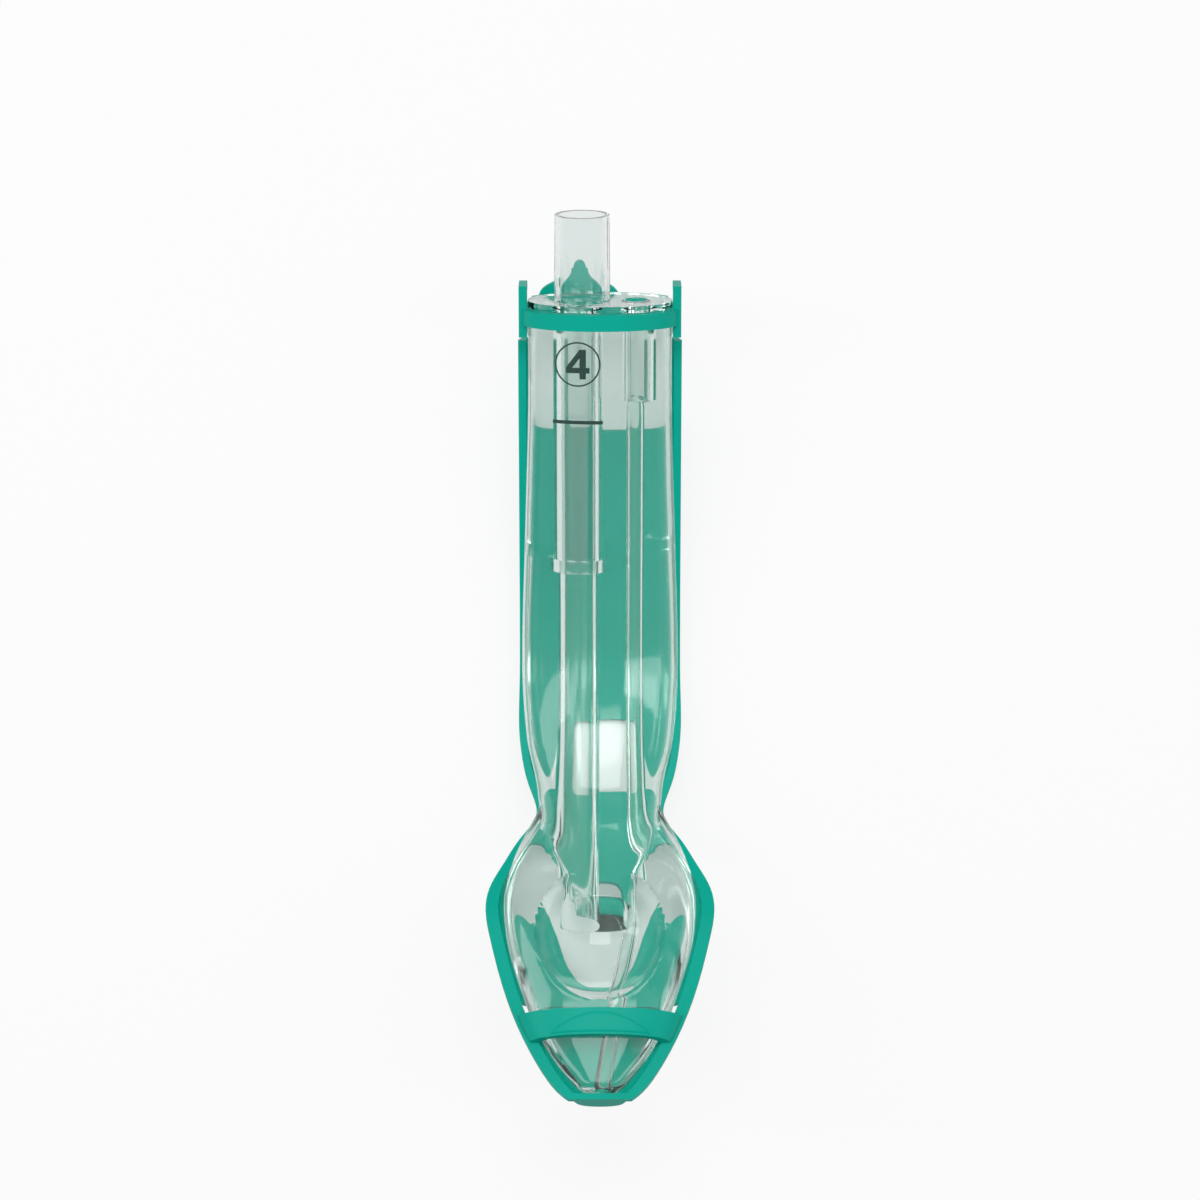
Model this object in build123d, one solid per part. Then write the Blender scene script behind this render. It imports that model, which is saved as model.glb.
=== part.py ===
from build123d import *
import os
from math import cos, radians, sin, tan

# Laryngeal mask airway, adult size 4, lying on its back in its moulded cradle.
# A soft clear body carries a breathing lumen and a gastric channel from the
# plate at one end to the cuff at the other. A hard clear connector is moulded
# into the plate end, a hook ring for the strap sits round it, and a trough
# shaped cradle holds the whole thing in its natural bend.
#
# The body follows a middle line that is straight, then one arc, then straight.
# s is the distance along that line from the plate to the tip, x is across and
# v is up from the line, towards the open side of the cuff. All in millimetres.

# Middle line
plate_tilt = 16.0
cuff_tilt = 27.0
straight_length = 77.0
bend_radius = 102.0

# Soft body
body_length = 230.0
plate_half_width, plate_half_depth = 20.2, 11.0
block_half_width, block_half_depth = 22.3, 12.0
block_at = 104.0
stem_half_width, stem_half_depth = 17.0, 11.0
stem_at = 147.0
cuff_half_width = 27.0
cuff_back, cuff_front = 11.0, 12.4
cuff_start = 142.0
cuff_widest_at = 177.0
tip_half_width, tip_back, tip_front = 5.6, 4.2, 3.4
ledge_at = 178.0
ledge_half_width, ledge_bottom, ledge_top = 6.6, 5.2, 12.2
body_roundness = 0.6
section_spacing = 8.0

# Bowl of the cuff
bowl_level = 14.0
bowl_half_width, bowl_depth = 18.5, 18.5

# Breathing lumen and gastric channel
lumen_x, lumen_bore = -5.6, 11.0
lumen_end = 182.0
channel_x, channel_bore = 9.1, 4.6

# Connector
plate_thickness = 1.8
cone_mouth_diameter, cone_taper, cone_length = 15.22, 1 / 40, 16.0
cone_x = -5.0
cone_bore = 12.6
neck_length = 8.0
sleeve_diameter, sleeve_length = 12.6, 75.5
flare_diameter, flare_length = 14.6, 3.5
port_x, port_diameter, port_bore, port_length = 10.0, 8.2, 6.6, 26.0
insert_gap = 0.1

# Hook ring
ring_wall, ring_height, ring_gap = 2.3, 4.5, 0.15
ring_back_rise = 1.4
hook_reach_up, hook_reach_down, hook_width = 6.4, 8.1, 9.0
hook_notch_width, hook_notch_height = 3.4, 3.6
hook_head = 2.4
tab_x, tab_half_width = -6.0, 11.3
tab_neck, tab_rise, knob_radius = 3.0, 8.4, 2.3

# Cradle
wall = 1.8
seat_gap = 0.3
cradle_start = 11.0
trough_half_width, trough_top = 23.1, -5.5
waist_half_width = 18.3
scoop_room, tip_room, scoop_top = 1.5, 0.5, 0.0
trough_lip, scoop_lip, lip_thickness = 0.4, 1.8, 1.8
trough_roundness, scoop_roundness = 0.76, 0.64
notch_half_width, notch_length, notch_corner = 15.5, 26.0, 5.0
window_at, window_half_width, window_length, window_corner = 129.5, 9.6, 23.0, 4.0
strip_width = 2.6
tongue_half_width = 9.0
slot_length = 8.0
hood_length, hood_gap = 7.4, 0.4
rest_flat = 0.15


def arc_angle():
    return radians(plate_tilt + cuff_tilt)


def arc_end():
    return straight_length + bend_radius * arc_angle()


def place(s, x=0.0, v=0.0):
    """The point at s along the middle line, x across and v above it."""
    start_tilt = radians(plate_tilt)
    if s <= straight_length:
        y, z, pitch = -cos(start_tilt) * s, -sin(start_tilt) * s, -start_tilt
    else:
        pitch = min((s - straight_length) / bend_radius, arc_angle()) - start_tilt
        y = -cos(start_tilt) * straight_length - bend_radius * (sin(start_tilt) + sin(pitch))
        z = -sin(start_tilt) * straight_length + bend_radius * (cos(start_tilt) - cos(pitch))
        beyond = max(s - arc_end(), 0.0)
        y, z = y - cos(pitch) * beyond, z + sin(pitch) * beyond
    return Vector(x, y + v * sin(pitch), z + v * cos(pitch))


def station(s):
    """The plane across the middle line at s, facing the tip."""
    along = place(s + 0.01) - place(s - 0.01)
    return Plane(place(s), x_dir=(1, 0, 0), z_dir=along)


def down_cuff(share):
    """The place this far from the widest part of the cuff, 0, to its tip, 1."""
    return blend(cuff_widest_at, body_length, share)


def bowl_at():
    return down_cuff(0.195)


def bowl_half_length():
    return down_cuff(0.565) - bowl_at()


def slot_start():
    return down_cuff(0.487)


def hood_start():
    return down_cuff(0.595)


def scoop_half_width():
    return cuff_half_width + scoop_room + wall + scoop_lip


def scoop_end():
    return body_length + tip_room + wall


def deck(s, v):
    """The plane along the middle line at s, at height v, facing up."""
    along = place(s + 0.01) - place(s - 0.01)
    return Plane(place(s, 0, v), x_dir=(1, 0, 0), z_dir=along.cross(Vector(1, 0, 0)))


def oval(s, half_width, bottom, top, level=0.0):
    """An oval section across the middle line, widest at level."""
    a, k = half_width, body_roundness
    right, left = (a, level), (-a, level)
    high, low = (0, top), (0, bottom)
    over, under = level + k * (top - level), level + k * (bottom - level)
    curves = [
        Bezier(right, (a, over), (k * a, top), high),
        Bezier(high, (-k * a, top), (-a, over), left),
        Bezier(left, (-a, under), (-k * a, bottom), low),
        Bezier(low, (k * a, bottom), (a, under), right),
    ]
    return station(s) * make_face(curves)


def trough(s, half_width, bottom, shoulder, top, roundness, lip=0.0):
    """A filled U, upright above its shoulder, with a lip turned out along its top."""
    a, k = half_width, roundness
    under = shoulder + k * (bottom - shoulder)
    right = [(a, shoulder), (a + lip, shoulder)] if lip else [(a, shoulder)]
    rim = right + [(a + lip, top)]
    curves = [
        Polyline(*rim, *[(-x, v) for x, v in reversed(rim)]),
        Bezier((-a, shoulder), (-a, under), (-k * a, bottom), (0, bottom)),
        Bezier((0, bottom), (k * a, bottom), (a, under), (a, shoulder)),
    ]
    return station(s) * make_face(curves)


def blend(start, end, share):
    return start + (end - start) * share


def between(keys, s):
    """The values at s on a smooth curve through the key sections."""
    last = len(keys) - 1
    i = next((k for k in range(1, last) if keys[k][0] >= s), last)
    span = keys[i][0] - keys[i - 1][0]
    t = (s - keys[i - 1][0]) / span

    def slope(k, j):
        before, after = keys[max(k - 1, 0)], keys[min(k + 1, last)]
        return (after[j] - before[j]) / (after[0] - before[0])

    return [
        (2 * t**3 - 3 * t**2 + 1) * keys[i - 1][j] + (t**3 - 2 * t**2 + t) * span * slope(i - 1, j)
        + (3 * t**2 - 2 * t**3) * keys[i][j] + (t**3 - t**2) * span * slope(i, j)
        for j in range(1, len(keys[0]))
    ]


def smooth_loft(keys, section):
    """A loft through evenly spaced sections worked out from the key ones."""
    s0, s1 = keys[0][0], keys[-1][0]
    steps = max(4, round((s1 - s0) / section_spacing))
    stops = [blend(s0, s1, k / steps) for k in range(steps + 1)]
    return loft([section(s, *between(keys, s)) for s in stops])


def stem_keys():
    """Half width, back, front and widest level of the stem, from the plate to the ledge."""
    ledge_level = (ledge_bottom + ledge_top) / 2
    plate = (plate_half_width, -plate_half_depth, plate_half_depth, 0.0)
    block = (block_half_width, -block_half_depth, block_half_depth, 0.0)
    waist = (stem_half_width, -stem_half_depth, stem_half_depth, 0.0)
    ledge = (ledge_half_width, ledge_bottom, ledge_top, ledge_level)

    def mix(s, start, end, share):
        return (s, *(blend(a, b, share) for a, b in zip(start, end)))

    return [
        (0.0, *plate),
        mix(block_at * 0.28, plate, block, 0.06),
        mix(block_at * 0.6, plate, block, 0.5),
        (block_at, *block),
        mix(blend(block_at, stem_at, 0.5), block, waist, 0.27),
        mix(blend(block_at, stem_at, 0.78), block, waist, 0.76),
        (stem_at, *waist),
        mix(blend(stem_at, ledge_at, 0.36), waist, ledge, 0.16),
        mix(blend(stem_at, ledge_at, 0.7), waist, ledge, 0.6),
        (ledge_at, *ledge),
    ]


def cuff_keys():
    """The same for the cuff, from inside the stem to the tip."""
    shape = [
        (cuff_start, 0.55, 0.93, 0.72),
        (cuff_start + 9, 0.73, 1.0, 0.76),
        (cuff_widest_at - 16, 0.895, 1.03, 0.87),
        (cuff_widest_at - 7, 0.98, 1.01, 0.98),
        (cuff_widest_at, 1.0, 0.98, 1.0),
        (down_cuff(0.204), 0.95, 0.92, 0.88),
        (down_cuff(0.426), 0.825, 0.81, 0.65),
        (down_cuff(0.611), 0.695, 0.69, 0.45),
        (down_cuff(0.759), 0.555, 0.58, 0.38),
        (down_cuff(0.889), 0.39, 0.48, 0.33),
    ]
    keys = [(s, w * cuff_half_width, -b * cuff_back, f * cuff_front) for s, w, b, f in shape]
    return keys + [(body_length, tip_half_width, -tip_back, tip_front)]


def middle_line(s0, s1, x=0.0, v=0.0):
    """The middle line from s0 to s1 as a straight run and an arc."""
    bend = place((straight_length + s1) / 2, x, v)
    if s1 <= straight_length:
        return Line(place(s0, x, v), place(s1, x, v))
    straight = Line(place(s0, x, v), place(straight_length, x, v))
    arc = ThreePointArc(place(straight_length, x, v), bend, place(min(s1, arc_end()), x, v))
    if s1 <= arc_end():
        return straight + arc
    return straight + arc + Line(place(arc_end(), x, v), place(s1, x, v))


def tube_along(path, diameter):
    return sweep(Plane(path @ 0, z_dir=path % 0) * Circle(diameter / 2), path=path)


def rod(x, diameter, s0, s1):
    """A round rod in the straight part, from s0 to s1."""
    section = station(0).offset(s0) * Pos(x, 0) * Circle(diameter / 2)
    return extrude(section, amount=s1 - s0, dir=station(0).z_dir)


def airway_body():
    stem = smooth_loft(stem_keys(), oval)
    cuff = smooth_loft(cuff_keys(), oval)
    hollow = scale(Sphere(1), by=(bowl_half_width, bowl_half_length(), bowl_depth))
    body = stem + (cuff - deck(bowl_at(), bowl_level) * hollow)
    body -= tube_along(middle_line(-1, lumen_end, lumen_x), lumen_bore)
    body -= tube_along(gastric_line(), channel_bore)
    around = 2 * insert_gap
    body -= rod(lumen_x, sleeve_diameter + around, -1, sleeve_length + insert_gap)
    body -= rod(lumen_x, flare_diameter + around, sleeve_length - flare_length - insert_gap,
                sleeve_length + insert_gap)
    body -= rod(port_x, port_diameter + around, -1, port_length + insert_gap)
    return body


def gastric_line():
    """Beside the lumen, round the bowl's floor and out at the middle of the tip."""
    corner = place(straight_length) + (place(1) - place(0)) * bend_radius * tan(arc_angle() / 2)
    points = [
        place(-1, channel_x),
        corner + Vector(channel_x, 0, 0),
        place(ledge_at - 5, channel_x + 0.7, -4.6),
        place(down_cuff(0.24), 7.4, -6.4),
        place(down_cuff(0.555), 4.2, -3.4),
        place(body_length + 2, 0, -0.4),
    ]
    bend = 1.5 * bowl_half_length()
    return FilletPolyline(*points, radius=[bend_radius, bend, bend, bend])


def connector():
    neck_diameter = cone_mouth_diameter + cone_taper * cone_length
    top = -plate_thickness - neck_length - cone_length
    plate = extrude(oval(0, plate_half_width, -plate_half_depth, plate_half_depth),
                    amount=plate_thickness, dir=-station(0).z_dir)
    body = plate + rod(cone_x, neck_diameter, top + cone_length, -plate_thickness / 2)
    cone = Cone(cone_mouth_diameter / 2, neck_diameter / 2, cone_length)
    body += station(0).offset(top + cone_length / 2) * Pos(cone_x, 0) * cone
    body += rod(lumen_x, sleeve_diameter, -plate_thickness / 2, sleeve_length)
    body += rod(lumen_x, flare_diameter, sleeve_length - flare_length, sleeve_length)
    body += rod(port_x, port_diameter, -plate_thickness / 2, port_length)
    body -= rod(cone_x, cone_bore, top - 1, -plate_thickness / 2)
    body -= rod(lumen_x, lumen_bore, -plate_thickness, sleeve_length + 1)
    body -= rod(port_x, port_bore, -plate_thickness - 1, port_length + 1)
    return body


def hook_ring():
    reach = ring_gap + ring_wall
    inner = oval(0, plate_half_width + ring_gap, -plate_half_depth - ring_gap, plate_half_depth + ring_gap)
    outer = oval(0, plate_half_width + reach, -plate_half_depth - reach, plate_half_depth + reach)
    down = station(0).z_dir
    band = extrude(outer, amount=ring_gap + ring_height, dir=down)
    band -= extrude(outer, amount=ring_gap, dir=down)
    back = extrude(outer, amount=ring_back_rise, dir=-down) + extrude(outer, amount=2 * ring_gap, dir=down)
    behind = Box(2 * reach + 2 * plate_half_width, plate_half_depth, 4 * ring_height)
    body = band + (back & station(0) * Pos(0, -plate_half_depth * 1.2, 0) * behind)
    body -= extrude(inner, amount=2 * ring_height, dir=down, both=True)
    for side in (-1, 1):
        body += strap_hook(side)
    return body + rear_tab()


def strap_hook(side):
    """A post beside the plate, notched from behind so that a strap's eye hooks over it."""
    near = plate_half_width + ring_gap
    far = plate_half_width + ring_gap + ring_wall
    up, down = -hook_reach_up, hook_reach_down
    post = Rectangle(far - near, down - up)
    post = extrude(deck(0, 0) * Pos((near + far) / 2 * side, -(up + down) / 2) * post,
                   amount=hook_width / 2, both=True)
    notch_at = up + hook_head + hook_notch_height / 2
    notch = Rectangle(2 * (far - near), hook_notch_height)
    notch = extrude(deck(0, 0) * Pos((near + far) / 2 * side, -notch_at) * notch, amount=-hook_width / 2)
    notch = Pos(*(place(0, 0, hook_notch_width - hook_width / 2) - place(0))) * notch
    return post - notch


def rear_tab():
    """A bell shaped tab with a knob, standing on the ring behind the cone."""
    back = -plate_half_depth - ring_gap - ring_wall
    shoulder = tab_rise / 2
    left = [(-tab_half_width, 0), (-tab_half_width, -1.2 * shoulder), (-tab_neck, -shoulder)]
    left.append((-tab_neck, -tab_rise))
    right = [(-x, y) for x, y in left]
    bell = make_face([
        Bezier(*left),
        Line(left[-1], right[-1]),
        Bezier(*reversed(right)),
        Line(right[0], left[0]),
    ])
    flat = Pos(tab_x) * (bell + Pos(0, -tab_rise) * Circle(knob_radius))
    facing = Plane(place(0, 0, back), x_dir=(1, 0, 0), z_dir=-(place(0, 0, 1) - place(0)))
    return extrude(facing * flat, amount=-ring_wall)


def cradle_keys():
    """Half width over the lip, lip, rim height and roundness along the cradle."""
    trough_end = (trough_half_width, trough_lip, trough_top, trough_roundness)
    scoop_width = scoop_half_width()
    scoop = (scoop_width, scoop_lip, scoop_top, scoop_roundness)
    waist = (waist_half_width, *trough_end[1:])

    def mix(s, width, share):
        return (s, width, *(blend(a, b, share) for a, b in zip(trough_end[1:], scoop[1:])))

    widest = cuff_widest_at
    tip = tip_half_width + scoop_room * 2
    return [
        (cradle_start, *trough_end),
        (block_at, *trough_end),
        (window_at - 4, *trough_end),
        mix(window_at + 7, blend(trough_half_width, waist_half_width, 0.52), 0.0),
        (stem_at, *waist),
        mix(widest - 21.5, blend(waist_half_width, scoop_width, 0.45), 0.3),
        mix(widest - 14, blend(waist_half_width, scoop_width, 0.7), 0.5),
        mix(widest - 7, blend(waist_half_width, scoop_width, 0.94), 0.8),
        (widest, *scoop),
        mix(down_cuff(0.222), scoop_width * 0.93, 1.0),
        mix(down_cuff(0.444), scoop_width * 0.83, 1.0),
        mix(down_cuff(0.611), scoop_width * 0.73, 1.0),
        mix(down_cuff(0.756), blend(tip, scoop_width, 0.48), 1.0),
        mix(down_cuff(0.904), blend(tip, scoop_width, 0.29), 1.0),
        mix(down_cuff(0.996), blend(tip, scoop_width, 0.13), 1.0),
        (scoop_end(), tip, *scoop[1:]),
    ]


def underside(s):
    """How far below the middle line the back of the body lies."""
    lows = []
    if s < cuff_widest_at - 7:
        lows.append(between(stem_keys(), s)[1])
    if s > cuff_start:
        lows.append(between(cuff_keys(), min(s, body_length))[1])
    return min(lows) - seat_gap


def shell_section(s, outline, lip, top, roundness):
    return trough(s, outline - lip, underside(s) - wall, top - lip_thickness, top, roundness, lip)


def hollow_section(s, outline, lip, top, roundness):
    return trough(s, outline - lip - wall, underside(s), top - lip_thickness, top + 3 * cuff_front, roundness)


def hood_section(s, outline, lip, top, roundness):
    """An arch over the front of the cuff, standing on the lip."""
    a, k = outline - lip / 2, body_roundness
    crown = between(cuff_keys(), s)[2] + hood_gap + wall
    foot = top - lip_thickness / 2
    curves = [
        Line((-a, foot), (a, foot)),
        Bezier((a, foot), (a, foot + k * (crown - foot)), (k * a, crown), (0, crown)),
        Bezier((0, crown), (-k * a, crown), (-a, foot + k * (crown - foot)), (-a, foot)),
    ]
    return station(s) * make_face(curves)


def hood_room(s, half_width, back, front):
    """The space the cuff passes through, under the hood."""
    return oval(s, half_width + hood_gap, back - hood_gap, front + hood_gap)


def part_of(keys, s0, s1, steps=4):
    stops = [blend(s0, s1, k / steps) for k in range(steps + 1)]
    return [(s, *between(keys, s)) for s in stops]


def opening(*half, reach=2 * cuff_back, v=-2 * cuff_back):
    """A cutter through the floor from points of s and half width, mirrored across."""
    at = half[0][0]
    right = [(width, at - s) for s, width in half]
    left = [(-x, y) for x, y in reversed(right)]
    return extrude(deck(at, v) * make_face(Polyline(*right, *left, close=True)), amount=reach)


def floor_openings():
    """The open start of the floor, its window, the one under the bowl with a tongue left
    in its start, and the slot below the hood."""
    keys = cradle_keys()

    def rim(s):
        return between(keys, s)[0]

    notch = Pos(0, -notch_length / 2) * RectangleRounded(2 * notch_half_width, 2 * notch_length, notch_corner)
    notch = extrude(deck(cradle_start, -2 * cuff_back) * Pos(0, notch_length / 2) * notch,
                    amount=2 * cuff_back + trough_top - 1)
    window = RectangleRounded(2 * window_half_width, window_length, window_corner)
    window = extrude(deck(window_at, -2 * cuff_back) * window, amount=2 * cuff_back)
    wide, strip, scoop_width = cuff_widest_at, strip_width, scoop_half_width()
    funnel = opening(
        (wide - 10, tongue_half_width),
        (wide - 20.5, tongue_half_width * 1.6),
        (wide - 23.5, rim(wide - 23.5) - strip),
        (wide - 15.5, rim(wide - 15.5) - strip),
        (wide - 9, rim(wide - 9) - 2 * strip),
        (wide - 3, scoop_width * 0.6),
        (down_cuff(0.074), scoop_width * 0.47),
        (down_cuff(0.278), scoop_width * 0.35),
        (down_cuff(0.398), scoop_width * 0.24),
        (down_cuff(0.435), scoop_width * 0.14),
    )
    ends = (slot_start(), slot_start() + slot_length)
    reach = 2 * cuff_back + scoop_top - lip_thickness
    slot = opening(*[(s, rim(s) - 1.2 * strip) for s in ends], reach=reach)
    return notch + window + funnel + slot


def below_flat(piece):
    """What lies below the small flat that stops the curved underside from rocking."""
    box = piece.bounding_box()
    depth = 2 * wall
    return Pos(0, box.center().Y, box.min.Z + rest_flat - depth / 2) * Box(box.size.X, box.size.Y, depth)


def cradle():
    keys = cradle_keys()
    inside = part_of(keys, cradle_start - 1, scoop_end() - wall, steps=28)
    body = smooth_loft(keys, shell_section) - smooth_loft(inside, hollow_section)
    body -= floor_openings()
    start, end = hood_start(), hood_start() + hood_length
    over = part_of(keys, start, end)
    below = part_of(cuff_keys(), start - 1, end + 1)
    body += smooth_loft(over, hood_section) - smooth_loft(below, hood_room)
    return body - below_flat(body)


def assembled():
    """Every piece by name, standing over the middle of its own floor."""
    pieces = {
        "airway_body": airway_body(),
        "connector": connector(),
        "hook_ring": hook_ring(),
        "cradle": cradle(),
    }
    box = Compound(list(pieces.values())).bounding_box()
    move = Pos(-box.center().X, -box.center().Y, -box.min.Z)
    return {name: move * piece for name, piece in pieces.items()}


if __name__ == "__main__":
    os.makedirs("parts", exist_ok=True)
    for name, piece in assembled().items():
        export_step(piece, f"parts/{name}.step")
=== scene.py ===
from math import cos, pi, radians, sin

import bmesh
import bpy
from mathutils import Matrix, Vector


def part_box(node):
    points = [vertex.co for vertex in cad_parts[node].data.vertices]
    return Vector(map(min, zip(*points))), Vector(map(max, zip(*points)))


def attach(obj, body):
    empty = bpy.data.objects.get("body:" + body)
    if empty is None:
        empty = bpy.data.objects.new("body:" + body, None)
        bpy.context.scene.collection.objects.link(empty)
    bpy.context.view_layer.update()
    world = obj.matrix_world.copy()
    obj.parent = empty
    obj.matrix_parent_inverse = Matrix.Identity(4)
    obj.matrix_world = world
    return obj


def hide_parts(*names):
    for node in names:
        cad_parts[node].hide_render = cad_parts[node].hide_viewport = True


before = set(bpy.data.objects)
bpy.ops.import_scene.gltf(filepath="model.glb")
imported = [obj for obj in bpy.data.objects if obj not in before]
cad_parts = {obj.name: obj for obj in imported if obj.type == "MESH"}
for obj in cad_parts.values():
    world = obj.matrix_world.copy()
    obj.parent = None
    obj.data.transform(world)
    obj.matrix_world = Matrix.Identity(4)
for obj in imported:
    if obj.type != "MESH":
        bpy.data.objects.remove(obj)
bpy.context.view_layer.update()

mm = 0.001

# The soft body is one thick moulding of clear thermoplastic elastomer: bite block, stem and
# cuff in one piece. It bends along a middle line that is straight, then an arc, then straight.
plate_tilt, cuff_tilt = radians(16), radians(27)
straight_length, bend_radius = 77 * mm, 102 * mm
plate_half_depth = 11 * mm
mouth_height, mouth_radius = 25.8 * mm, 7.61 * mm
body_high, connector_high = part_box("airway_body")[1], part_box("connector")[1]
plate_y = body_high.y - plate_half_depth * sin(plate_tilt)
plate_z = connector_high.z - mouth_height * sin(plate_tilt) - mouth_radius * cos(plate_tilt)
arc_length = bend_radius * (plate_tilt + cuff_tilt)


def along(s, x=0.0, v=0.0):
    """The point s along the middle line from the plate, x across and v above it."""
    y, z, pitch = -cos(plate_tilt) * s, -sin(plate_tilt) * s, -plate_tilt
    if s > straight_length:
        pitch = min(s - straight_length, arc_length) / bend_radius - plate_tilt
        beyond = max(s - straight_length - arc_length, 0.0)
        y = -cos(plate_tilt) * straight_length - bend_radius * (sin(plate_tilt) + sin(pitch))
        z = -sin(plate_tilt) * straight_length + bend_radius * (cos(plate_tilt) - cos(pitch))
        y, z = y - cos(pitch) * beyond, z + sin(pitch) * beyond
    return Vector((x, plate_y + y + v * sin(pitch), plate_z + z + v * cos(pitch)))


def between(keys, s):
    """The values at s on a smooth curve through key sections, each a place and its values."""
    last = len(keys) - 1
    i = next((k for k in range(1, last) if keys[k][0] >= s), last)
    span = keys[i][0] - keys[i - 1][0]
    t = min(max((s - keys[i - 1][0]) / span, 0.0), 1.0)

    def slope(k, j):
        before, after = keys[max(k - 1, 0)], keys[min(k + 1, last)]
        return (after[j] - before[j]) / (after[0] - before[0]) * span

    return [
        (2 * t**3 - 3 * t**2 + 1) * keys[i - 1][j] + (t**3 - 2 * t**2 + t) * slope(i - 1, j)
        + (3 * t**2 - 2 * t**3) * keys[i][j] + (t**3 - t**2) * slope(i, j)
        for j in range(1, len(keys[0]))
    ]


def in_mm(*keys):
    return [tuple(value * mm for value in key) for key in keys]


# Each section is its place, half width, depth behind the middle line and depth in front of it.
stem_keys = in_mm((0, 20.2, 11, 11), (29, 20.3, 11.1, 11.1), (62, 21.25, 11.5, 11.5), (104, 22.3, 12, 12),
                  (125.5, 20.9, 11.7, 11.7), (137.5, 18.3, 11.3, 11.3), (147, 17, 11, 11),
                  (158, 14.9, 9, 11.5), (169, 10.4, 6, 12.1), (176, 7.9, 4, 12.4), (181.6, 6.9, 3, 12.4))
cuff_keys = in_mm((142, 14.9, 10.2, 2.5), (151, 19.7, 11, 3.8), (161, 24.2, 11.3, 6.6),
                  (170, 26.5, 11.1, 10.6), (177, 27, 10.8, 12.4), (187.8, 25.7, 10.1, 10.9),
                  (199.6, 22.3, 8.9, 8.1), (209.4, 18.8, 7.6, 5.6), (217.2, 15, 6.4, 4.7),
                  (224.1, 10.5, 5.3, 4.1), (230, 5.6, 4.2, 3.4))
body_length, ledge_at = 230 * mm, 181.6 * mm
bowl_at, bowl_level = 187.3 * mm, 14 * mm
bowl_half_width, bowl_half_length, bowl_depth = 18.5 * mm, 19.6 * mm, 18.5 * mm
nose_radius = 1.6 * mm
rim_round, shoulder_round, ledge_round = 2.4 * mm, 1.2 * mm, 4.5 * mm
roundness, ridge_roundness = 2.25, 3.6
ridge_from, ridge_over = 142 * mm, 20 * mm
points_a_side, nose_sections = 76, 6
coarse_step, cuff_step, ledge_step = 1.6, 0.7, 0.35


def soft_least(a, b, radius):
    return min(a, b) - max(radius - abs(a - b), 0) ** 2 / (4 * radius)


def soft_most(a, b, radius):
    return -soft_least(-a, -b, radius)


def arch(x, half_width, height, power=roundness):
    """How high an oval's edge stands over x, or nothing outside the oval."""
    share = 1 - abs(x / half_width) ** power
    return height * share ** (1 / power) if share > 0 else 0.0


def ridge_power(s):
    """The stem's front turns from an oval into a steep sided ridge between the flanks of the cuff."""
    share = min(max((s - ridge_from) / ridge_over, 0), 1)
    return roundness + (ridge_roundness - roundness) * share * share * (3 - 2 * share)


def front(s, x):
    """The side towards the patient's tongue, with the bowl pressed into the cuff and the ledge over it."""
    cuff = stem = 0.0
    if s > cuff_keys[0][0]:
        half_width, back, depth = between(cuff_keys, s)
        cuff = arch(x, half_width, depth)
        inside = 1 - (x / bowl_half_width) ** 2 - ((s - bowl_at) / bowl_half_length) ** 2
        if inside > 0:
            cuff = soft_least(cuff, bowl_level - bowl_depth * inside**0.5, rim_round)
    if s < ledge_at:
        half_width, back, depth = between(stem_keys, s)
        past = max(1 - (ledge_at - s) / ledge_round, 0)
        stem = arch(x, half_width, depth * (1 - past * past) ** 0.5, ridge_power(s))
    if s <= cuff_keys[0][0]:
        return stem
    return soft_most(cuff, stem, shoulder_round) if stem else cuff


def back(s, x):
    depths = [arch(x, w, d) for w, d, f in (between(stem_keys, s), between(cuff_keys, s))]
    if s <= cuff_keys[0][0]:
        return -depths[0]
    return -max(depths) if s < ledge_at else -depths[1]


def half_width_at(s):
    stem = between(stem_keys, s)[0] if s < ledge_at else 0.0
    cuff = between(cuff_keys, s)[0] if s > cuff_keys[0][0] else 0.0
    return max(stem, cuff)


def rings_mesh(name, rings):
    """A closed skin over rings of points, with a flat face over each end."""
    mesh = bpy.data.meshes.new(name)
    count = len(rings[0])
    faces = [tuple(range(count))[::-1], tuple(range((len(rings) - 1) * count, len(rings) * count))]
    for r in range(len(rings) - 1):
        for k in range(count):
            after = (k + 1) % count
            faces.append((r * count + k, r * count + after, (r + 1) * count + after, (r + 1) * count + k))
    mesh.from_pydata([point for ring in rings for point in ring], [], faces)
    mesh.validate()
    whole = bmesh.new()
    whole.from_mesh(mesh)
    bmesh.ops.recalc_face_normals(whole, faces=whole.faces)
    whole.to_mesh(mesh)
    whole.free()
    mesh.shade_smooth()
    piece = bpy.data.objects.new(name, mesh)
    bpy.context.scene.collection.objects.link(piece)
    return piece


def body_ring(s, inset=0.0):
    """One section of the skin: over the front from one side to the other, then back below."""
    half = half_width_at(s) - inset
    scale = half / (half + inset)
    turns = [pi * k / points_a_side for k in range(points_a_side)]
    over = [along(s, half * cos(t), front(s, half * cos(t) / scale) * scale) for t in turns]
    below = [along(s, -half * cos(t), back(s, -half * cos(t) / scale) * scale) for t in turns]
    return over + below


# Sections lie closer together over the cuff, and closest round the end of the ledge.
stops = []
place = 0.0
while place < body_length - nose_radius:
    stops.append(place)
    step = cuff_step if 160 * mm < place < 212 * mm else coarse_step
    if 176 * mm < place < 183 * mm:
        step = ledge_step
    place += step * mm
rings = [body_ring(s) for s in stops]
for k in range(nose_sections):
    lean = pi / 2 * k / (nose_sections - 1)
    rings.append(body_ring(body_length - nose_radius * (1 - sin(lean)), nose_radius * (1 - cos(lean))))
body = rings_mesh("gel_body", rings)


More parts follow.
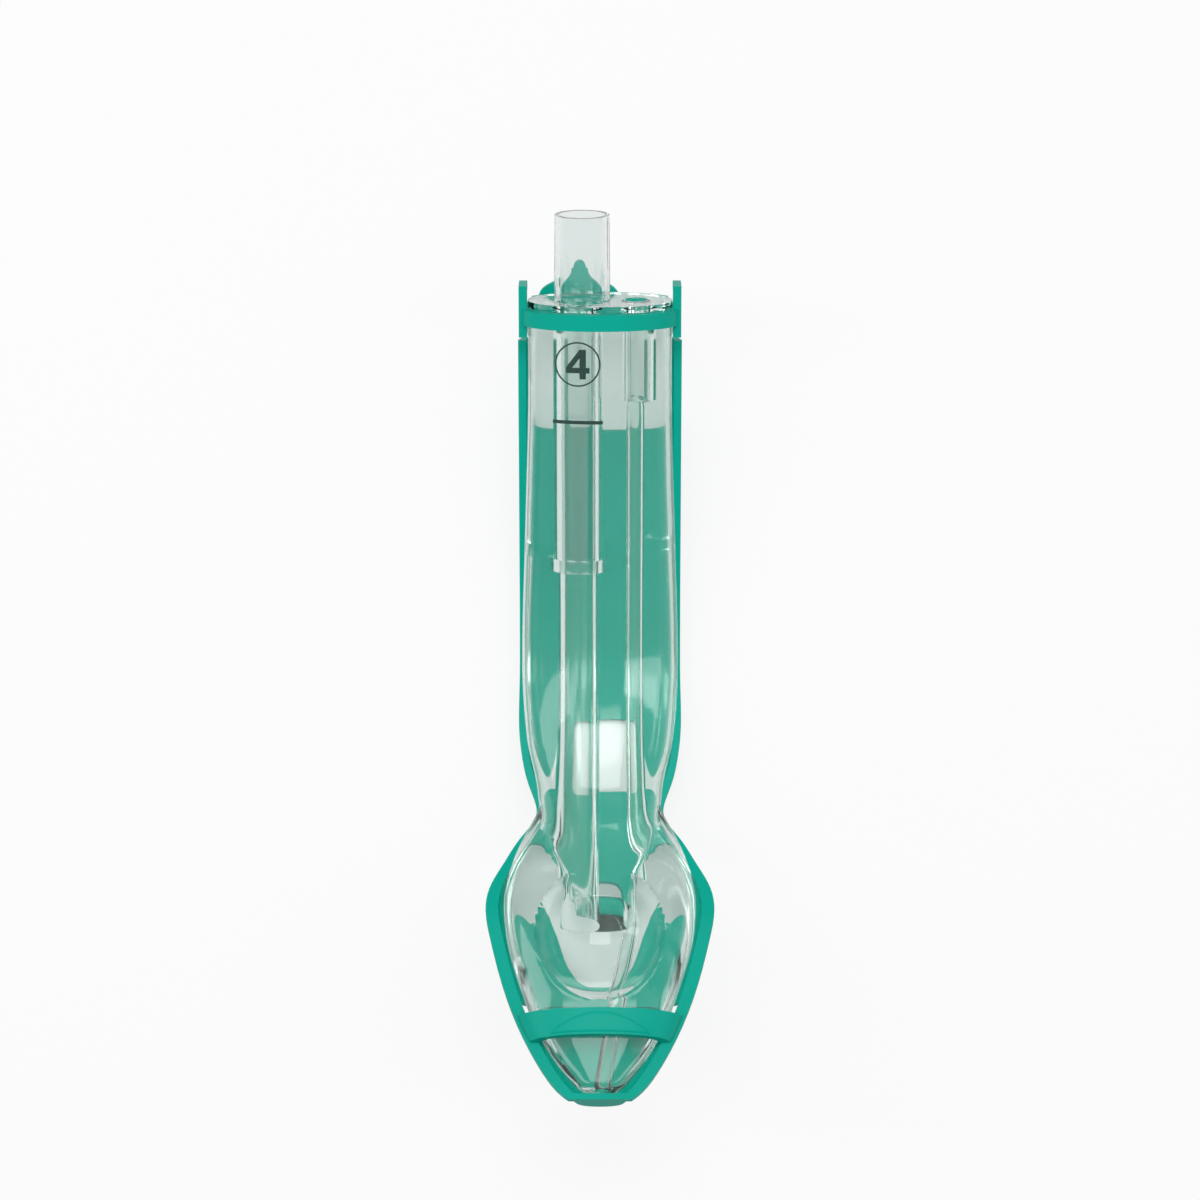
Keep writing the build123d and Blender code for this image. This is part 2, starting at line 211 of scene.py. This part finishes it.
def tube_mesh(name, centres, radii, sides=56):
    """A round bar along points in the body, whose radius may step."""
    rings = []
    for k, centre in enumerate(centres):
        ahead = (centres[min(k + 1, len(centres) - 1)] - centres[max(k - 1, 0)]).normalized()
        right = Vector((1, 0, 0))
        right = (right - ahead * right.dot(ahead)).normalized()
        up = right.cross(ahead)
        turns = [2 * pi * j / sides for j in range(sides)]
        rings.append([centre + (right * cos(t) + up * sin(t)) * radii[k] for t in turns])
    return rings_mesh(name, rings)


def carve(piece, *cutters):
    """Takes cutters out of a piece, then throws them away."""
    for cutter in cutters:
        step = piece.modifiers.new("carve", "BOOLEAN")
        step.object, step.operation, step.solver = cutter, "DIFFERENCE", "EXACT"
        step.material_mode = "TRANSFER"
    cut = bpy.data.meshes.new_from_object(piece.evaluated_get(bpy.context.evaluated_depsgraph_get()))
    piece.modifiers.clear()
    piece.data = cut
    for cutter in cutters:
        bpy.data.objects.remove(cutter)


def smooth_but(piece, corner=35):
    piece.data.shade_smooth()
    piece.data.set_sharp_from_angle(angle=radians(corner))


# The lumen is open from the plate to the bowl, wider where the connector's sleeve sits in it.
# The gastric channel leaves the lumen's side, goes round the bowl's floor and out at the tip.
lumen_x, lumen_radius, sleeve_seat, flare_seat = -5.6 * mm, 5.5 * mm, 6.4 * mm, 7.4 * mm
sleeve_end, flare_start, lumen_end = 75.6 * mm, 71.9 * mm, 182 * mm
port_x, port_seat, port_end, channel_radius = 10 * mm, 4.2 * mm, 26.1 * mm, 2.3 * mm
channel_keys = in_mm((26.2, 9.1, 0), (70, 9.1, 0), (120, 9.1, 0), (150, 9.1, -0.4), (173, 9.8, -4.6),
                     (189.7, 7.4, -6.4), (206.4, 4.2, -3.4), (233, 0, -0.4))
past_plate, shoulder_width = 1 * mm, 0.02 * mm


def lumen_core():
    """A bar along the lumen, with a shoulder at each change of its width."""
    steps = [(-past_plate, sleeve_seat), (flare_start, sleeve_seat),
             (flare_start + shoulder_width, flare_seat), (sleeve_end, flare_seat),
             (sleeve_end + shoulder_width, lumen_radius)]
    steps += [(s * mm, lumen_radius) for s in range(77, 182, 2)] + [(lumen_end, lumen_radius)]
    centres = [along(s, lumen_x) for s, radius in steps]
    return tube_mesh("lumen_core", centres, [radius for s, radius in steps])


def channel_core():
    """A bar as wide as the port's seat, then along the channel until it is past the tip."""
    first_x = channel_keys[0][1]
    centres = [along(-past_plate, port_x), along(port_end, port_x)]
    centres.append(along(port_end + shoulder_width, first_x))
    radii = [port_seat, port_seat, channel_radius]
    for s in range(28, 234, 2):
        x, v = between(channel_keys, s * mm)
        centres.append(along(s * mm, x, v))
        radii.append(channel_radius)
    return tube_mesh("channel_core", centres, radii, sides=32)


def linear(code):
    """An sRGB hex colour as linear values."""
    parts = [int(code[k:k + 2], 16) / 255 for k in (1, 3, 5)]
    return tuple(c / 12.92 if c <= 0.04045 else ((c + 0.055) / 1.055) ** 2.4 for c in parts) + (1.0,)


def add_node(tree, kind, links=(), **settings):
    """Adds a node, sets its sockets and options, and links its inputs."""
    node = tree.nodes.new(kind)
    for name, value in settings.items():
        if name in node.inputs:
            node.inputs[name].default_value = value
        else:
            setattr(node, name, value)
    for socket, source in links:
        tree.links.new(source, node.inputs[socket])
    return node


def material(name):
    made = bpy.data.materials.new(name)
    made.use_nodes = True
    made.node_tree.nodes.clear()
    return made, made.node_tree


def finish_with(tree, shader):
    add_node(tree, "ShaderNodeOutputMaterial", [("Surface", shader)])


# Moulded elastomer gel: water clear with a faint green cast, soft broad highlights and a slight
# ripple where the thick wall shrank as it cooled. The lumen's wall is duller, from its core pin.
def clear_with_light_through(tree, shader):
    """Lets light pass straight through to what lies inside, and out again once it is caught in the wall."""
    path = add_node(tree, "ShaderNodeLightPath")
    passing = add_node(tree, "ShaderNodeBsdfTransparent")
    either = add_node(tree, "ShaderNodeMath", operation="MAXIMUM")
    tree.links.new(path.outputs["Is Shadow Ray"], either.inputs[0])
    tree.links.new(path.outputs["Is Diffuse Ray"], either.inputs[1])
    caught = add_node(tree, "ShaderNodeMath", [(0, path.outputs["Ray Depth"])], operation="GREATER_THAN")
    caught.inputs[1].default_value = 6.5
    straight = add_node(tree, "ShaderNodeMath", [(0, either.outputs["Value"]), (1, caught.outputs["Value"])],
                        operation="MAXIMUM")
    mixed = add_node(tree, "ShaderNodeMixShader", [("Fac", straight.outputs["Value"])])
    tree.links.new(shader.outputs["BSDF"], mixed.inputs[1])
    tree.links.new(passing.outputs["BSDF"], mixed.inputs[2])
    finish_with(tree, mixed.outputs["Shader"])


def moulded_clear_elastomer(name, roughness, grain, depth):
    made, tree = material(name)
    where = add_node(tree, "ShaderNodeNewGeometry")
    ripple = add_node(tree, "ShaderNodeTexNoise", [("Vector", where.outputs["Position"])],
                      Scale=1 / grain, Detail=2.0, Roughness=0.4)
    relief = add_node(tree, "ShaderNodeBump", [("Height", ripple.outputs["Fac"])],
                      Strength=0.12, Distance=depth)
    shader = add_node(tree, "ShaderNodeBsdfPrincipled", [("Normal", relief.outputs["Normal"])])
    shader.inputs["Base Color"].default_value = linear("#E9F6F1")
    shader.inputs["Roughness"].default_value = roughness
    shader.inputs["IOR"].default_value = 1.45
    shader.inputs["Transmission Weight"].default_value = 0.985
    clear_with_light_through(tree, shader)
    return made


body.data.materials.append(moulded_clear_elastomer("moulded clear elastomer", 0.07, 9 * mm, 0.4 * mm))
bore_finish = moulded_clear_elastomer("core pin finish in elastomer", 0.13, 2.5 * mm, 0.1 * mm)
cores = [lumen_core(), channel_core()]
for core in cores:
    core.data.materials.append(bore_finish)
carve(body, *cores)
smooth_but(body)
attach(body, "root")
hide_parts("airway_body")


# Pad printing on the front of the body near the plate: the size figure in a ring and a depth
# line, in dark green grey ink. Each mark is cut into small faces and laid on the curved surface.
def printed(name, at_s, at_x, faces):
    """Flat faces in millimetres, x across and y towards the plate, laid on the body's front."""
    mark = bmesh.new()
    for corners in faces:
        mark.faces.new([mark.verts.new((x, y, 0)) for x, y in corners])
    for axis in range(2):
        for k in range(int((cuts_to - cuts_from) / cut_spacing)):
            at, facing = [0, 0, 0], [0, 0, 0]
            at[axis], facing[axis] = cuts_from + cut_spacing * k, 1
            geometry = mark.verts[:] + mark.edges[:] + mark.faces[:]
            bmesh.ops.bisect_plane(mark, geom=geometry, plane_co=at, plane_no=facing)
    bmesh.ops.remove_doubles(mark, verts=mark.verts, dist=weld_distance)
    for vert in mark.verts:
        s, x = at_s - vert.co.y * mm, at_x + vert.co.x * mm
        vert.co = along(s, x, front(s, x) + ink_thickness)
    bmesh.ops.recalc_face_normals(mark, faces=mark.faces)
    mesh = bpy.data.meshes.new(name)
    mark.to_mesh(mesh)
    mark.free()
    piece = bpy.data.objects.new(name, mesh)
    bpy.context.scene.collection.objects.link(piece)
    mesh.materials.append(ink)
    mesh.shade_smooth()
    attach(piece, "root")


def pad_printing_ink():
    made, tree = material("pad printing ink")
    where = add_node(tree, "ShaderNodeNewGeometry")
    film = add_node(tree, "ShaderNodeTexNoise", [("Vector", where.outputs["Position"])],
                    Scale=1 / (0.8 * mm), Detail=2.0)
    tone = add_node(tree, "ShaderNodeValToRGB", [("Fac", film.outputs["Fac"])])
    tone.color_ramp.elements[0].position, tone.color_ramp.elements[0].color = 0.35, linear("#1F3D38")
    tone.color_ramp.elements[1].position, tone.color_ramp.elements[1].color = 0.65, linear("#294842")
    shader = add_node(tree, "ShaderNodeBsdfPrincipled", [("Base Color", tone.outputs["Color"])])
    shader.inputs["Roughness"].default_value = 0.45
    finish_with(tree, shader.outputs["BSDF"])
    return made


ink, ink_thickness = pad_printing_ink(), 0.03 * mm
cuts_from, cuts_to, cut_spacing, weld_distance = -8, 9, 0.7, 0.001
figure_height, figure_width, stroke = 8.4, 6.6, 1.8
top, side = figure_height / 2, figure_width / 2
bar_left, bar_right, arm_low, arm_high = side - stroke - 1, side - 1, -2.5, -0.95
figure = [
    [(-side, arm_high), (-side + stroke, arm_high), (bar_left, 1.75), (bar_left, top)],
    [(bar_left, arm_high), (bar_right, arm_high), (bar_right, top), (bar_left, top)],
    [(-side, arm_low), (side, arm_low), (side, arm_high), (-side, arm_high)],
    [(bar_left, -top), (bar_right, -top), (bar_right, arm_low), (bar_left, arm_low)],
]
print_x, figure_at, line_at = -6.2 * mm, 14.4 * mm, 30.9 * mm
printed("size_figure", figure_at, print_x, figure)
ring_inside, ring_outside, sides = 5.9, 6.35, 72
turns = [(cos(2 * pi * k / sides), sin(2 * pi * k / sides)) for k in range(sides + 1)]
printed("figure_ring", figure_at, print_x, [
    [(ring_inside * a[0], ring_inside * a[1]), (ring_outside * a[0], ring_outside * a[1]),
     (ring_outside * b[0], ring_outside * b[1]), (ring_inside * b[0], ring_inside * b[1])]
    for a, b in zip(turns, turns[1:])
])
printed("depth_line", line_at, print_x, [[(-7, -0.5), (7, -0.5), (7, 0.5), (-7, 0.5)]])


# The connector is one hard, glass clear moulding of polycarbonate. Its plate closes the end of
# the body, its sleeves are moulded into the lumen and the channel, its cone takes the circuit.
def moulded_clear_polycarbonate():
    made, tree = material("moulded clear polycarbonate")
    where = add_node(tree, "ShaderNodeNewGeometry")
    flow = add_node(tree, "ShaderNodeTexNoise", [("Vector", where.outputs["Position"])],
                    Scale=1 / (14 * mm), Detail=1.0)
    relief = add_node(tree, "ShaderNodeBump", [("Height", flow.outputs["Fac"])],
                      Strength=0.05, Distance=0.2 * mm)
    shader = add_node(tree, "ShaderNodeBsdfPrincipled", [("Normal", relief.outputs["Normal"])])
    shader.inputs["Base Color"].default_value = linear("#F7FBFA")
    shader.inputs["Roughness"].default_value = 0.02
    shader.inputs["IOR"].default_value = 1.55
    shader.inputs["Transmission Weight"].default_value = 1.0
    clear_with_light_through(tree, shader)
    return made


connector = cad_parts["connector"]
connector.data.materials.clear()
connector.data.materials.append(moulded_clear_polycarbonate())


# The hook ring and the cradle are injection moulded in green polypropylene: opaque, slightly
# waxy, with the fine grain of an eroded mould.
def moulded_green_polypropylene():
    made, tree = material("moulded green polypropylene")
    where = add_node(tree, "ShaderNodeNewGeometry")
    clouds = add_node(tree, "ShaderNodeTexNoise", [("Vector", where.outputs["Position"])],
                      Scale=1 / (30 * mm), Detail=2.0)
    tone = add_node(tree, "ShaderNodeValToRGB", [("Fac", clouds.outputs["Fac"])])
    tone.color_ramp.elements[0].position, tone.color_ramp.elements[0].color = 0.3, linear("#00A792")
    tone.color_ramp.elements[1].position, tone.color_ramp.elements[1].color = 0.7, linear("#02AE9A")
    grain = add_node(tree, "ShaderNodeTexNoise", [("Vector", where.outputs["Position"])],
                     Scale=1 / (0.5 * mm), Detail=3.0)
    relief = add_node(tree, "ShaderNodeBump", [("Height", grain.outputs["Fac"])],
                      Strength=0.1, Distance=0.05 * mm)
    shader = add_node(tree, "ShaderNodeBsdfPrincipled",
                      [("Base Color", tone.outputs["Color"]), ("Normal", relief.outputs["Normal"])])
    shader.inputs["Roughness"].default_value = 0.4
    shader.inputs["Specular IOR Level"].default_value = 0.12
    finish_with(tree, shader.outputs["BSDF"])
    return made


green = moulded_green_polypropylene()
for name in ("hook_ring", "cradle"):
    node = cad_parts[name]
    node.data.materials.clear()
    node.data.materials.append(green)


# A shallow raised crescent on the hood that the cradle has over the cuff's tip. It is moulded with
# the cradle, in the same green polypropylene, and its foot is sunk in the hood.
hood_from, hood_to, hood_foot, hood_roundness = 208.5 * mm, 215.9 * mm, -0.9 * mm, 0.6
hood_over_cuff, hood_inside_rim = 2.2 * mm, 0.9 * mm
crescent_half, crescent_rise, crescent_sunk = 14 * mm, 0.45 * mm, 0.05 * mm
crescent_start, crescent_bow, crescent_margin, crescent_edge = 1.1 * mm, 5.6 * mm, 0.5 * mm, 0.7 * mm
rim_keys = in_mm((200.5, 26.6), (209.4, 23.4), (217.1, 19.9), (224.9, 15.4))


def hood_height(s, x):
    """The height of the hood's outside over the middle line."""
    half = between(rim_keys, s)[0] - hood_inside_rim
    crown = between(cuff_keys, s)[2] + hood_over_cuff
    low, high = 0.0, 1.0
    for _ in range(30):
        t = (low + high) / 2
        reach = half * ((1 - t) ** 3 + 3 * (1 - t) ** 2 * t + 3 * hood_roundness * (1 - t) * t**2)
        low, high = (t, high) if reach > abs(x) else (low, t)
    rise = 3 * hood_roundness * (1 - t) ** 2 * t + 3 * (1 - t) * t**2 + t**3
    return hood_foot + (crown - hood_foot) * rise


def hood_crescent(columns=60, rows=14):
    mesh = bpy.data.meshes.new("hood_crescent")
    points, faces = [], []
    for j in range(rows + 1):
        for i in range(columns + 1):
            x = crescent_half * (2 * i / columns - 1)
            start = hood_from + crescent_start + crescent_bow * (x / crescent_half) ** 2
            s = start + (hood_to - crescent_margin - start) * j / rows
            edge = min(s - start, hood_to - crescent_margin - s, crescent_half - abs(x)) / crescent_edge
            bump = crescent_rise * (1 - (1 - min(max(edge, 0), 1)) ** 2)
            points.append(along(s, x, hood_height(s, x) - crescent_sunk + bump))
    for j in range(rows):
        for i in range(columns):
            a = j * (columns + 1) + i
            faces.append((a, a + 1, a + columns + 2, a + columns + 1))
    mesh.from_pydata(points, [], faces)
    mesh.shade_smooth()
    piece = bpy.data.objects.new("hood_crescent", mesh)
    bpy.context.scene.collection.objects.link(piece)
    return piece


crescent = hood_crescent()
crescent.data.materials.append(green)
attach(crescent, "root")


# Floor, lamps and camera. The floor is lit up for the camera so that it comes out white, and it
# keeps the part's shadow. The camera looks straight down on the part, as it lies.
def studio_floor():
    made, tree = material("pale studio floor")
    shader = add_node(tree, "ShaderNodeBsdfPrincipled")
    shader.inputs["Base Color"].default_value = linear("#F4F4F4")
    shader.inputs["Roughness"].default_value = 0.8
    shader.inputs["Specular IOR Level"].default_value = 0.1
    path = add_node(tree, "ShaderNodeLightPath")
    clear = add_node(tree, "ShaderNodeMath", [(0, path.outputs["Is Transmission Ray"])],
                     operation="MULTIPLY")
    clear.inputs[1].default_value = 0.1
    share = add_node(tree, "ShaderNodeMath",
                     [(0, path.outputs["Is Camera Ray"]), (2, clear.outputs["Value"])],
                     operation="MULTIPLY_ADD")
    share.inputs[1].default_value = 0.84
    glow = add_node(tree, "ShaderNodeEmission", Color=linear("#FFFFFF"), Strength=1.0)
    mixed = add_node(tree, "ShaderNodeMixShader", [("Fac", share.outputs["Value"])])
    tree.links.new(shader.outputs["BSDF"], mixed.inputs[1])
    tree.links.new(glow.outputs["Emission"], mixed.inputs[2])
    finish_with(tree, mixed.outputs["Shader"])
    return made


reach = 3.0
sheet = bpy.data.meshes.new("floor")
corners = [(-reach, -reach, 0), (reach, -reach, 0), (reach, reach, 0), (-reach, reach, 0)]
sheet.from_pydata(corners, [], [(0, 1, 2, 3)])
floor = bpy.data.objects.new("floor", sheet)
bpy.context.scene.collection.objects.link(floor)
sheet.materials.append(studio_floor())

# The studio round the part is brighter where it is seen through the clear pieces.
world = bpy.data.worlds.new("studio")
bpy.context.scene.world = world
world.use_nodes = True
world.node_tree.nodes["Background"].inputs["Color"].default_value = linear("#FFFFFF")
path = add_node(world.node_tree, "ShaderNodeLightPath")
through = add_node(world.node_tree, "ShaderNodeMath", [(0, path.outputs["Is Transmission Ray"])],
                   operation="MULTIPLY_ADD")
through.inputs[1].default_value, through.inputs[2].default_value = 0.45, 0.36
world.node_tree.links.new(through.outputs["Value"], world.node_tree.nodes["Background"].inputs["Strength"])


def softbox(name, place, aim, size, power):
    lamp = bpy.data.lights.new(name, "AREA")
    lamp.shape, lamp.size, lamp.size_y, lamp.energy = "RECTANGLE", size[0], size[1], power
    holder = bpy.data.objects.new(name, lamp)
    holder.location = place
    holder.rotation_euler = (Vector(aim) - Vector(place)).to_track_quat("-Z", "Y").to_euler()
    bpy.context.scene.collection.objects.link(holder)


softbox("left softbox", (-0.7, 0.1, 0.7), (0, 0, 0.03), (0.2, 0.9), 2.4)
softbox("right softbox", (0.65, 0.0, 0.8), (0, 0, 0.03), (0.16, 0.9), 1.7)
softbox("overhead softbox", (0.0, 0.5, 1.15), (0, 0, 0.03), (0.8, 0.45), 5.4)

camera_height, focal_pixels, frame_pixels, sensor_width = 1.0, 3437.7, 1200, 36.0
aim_y = 15.1 * mm
lens = bpy.data.cameras.new("camera")
lens.sensor_width = sensor_width
lens.lens = focal_pixels / frame_pixels * sensor_width
camera = bpy.data.objects.new("camera", lens)
camera.location = (0, aim_y, camera_height)
camera.rotation_euler = (0, 0, 0)
bpy.context.scene.collection.objects.link(camera)
bpy.context.scene.camera = camera
bpy.context.scene.view_settings.view_transform = "Standard"
